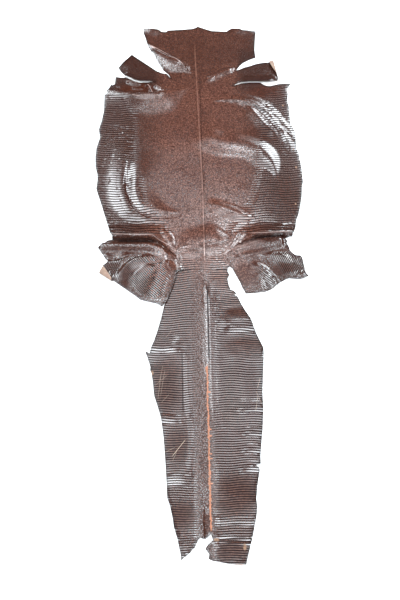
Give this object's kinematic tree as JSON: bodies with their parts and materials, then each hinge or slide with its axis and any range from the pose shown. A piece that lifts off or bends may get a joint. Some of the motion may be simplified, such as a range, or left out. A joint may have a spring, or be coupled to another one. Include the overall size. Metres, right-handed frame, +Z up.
{
  "type": "leather hide",
  "caption": "Glazed reptile leather hide laid flat: broad body, head end, leg flaps and a long tapering tail, with groin pleats and curled corners.",
  "frame": {"origin": "centre of the hide's bounding box, on the surface it lies on", "axes": "+Y along the spine from the tail to the head end, +X towards the flank on the right when the scale side is up, +Z up from the flesh side"},
  "size_m": [0.375, 1.006, 0.0109],
  "materials": {
    "leather": "glazed reddish-brown scale leather, tan on the flesh side"
  },
  "bodies": {
    "root": {"hide": "leather"}
  },
  "joints": []
}
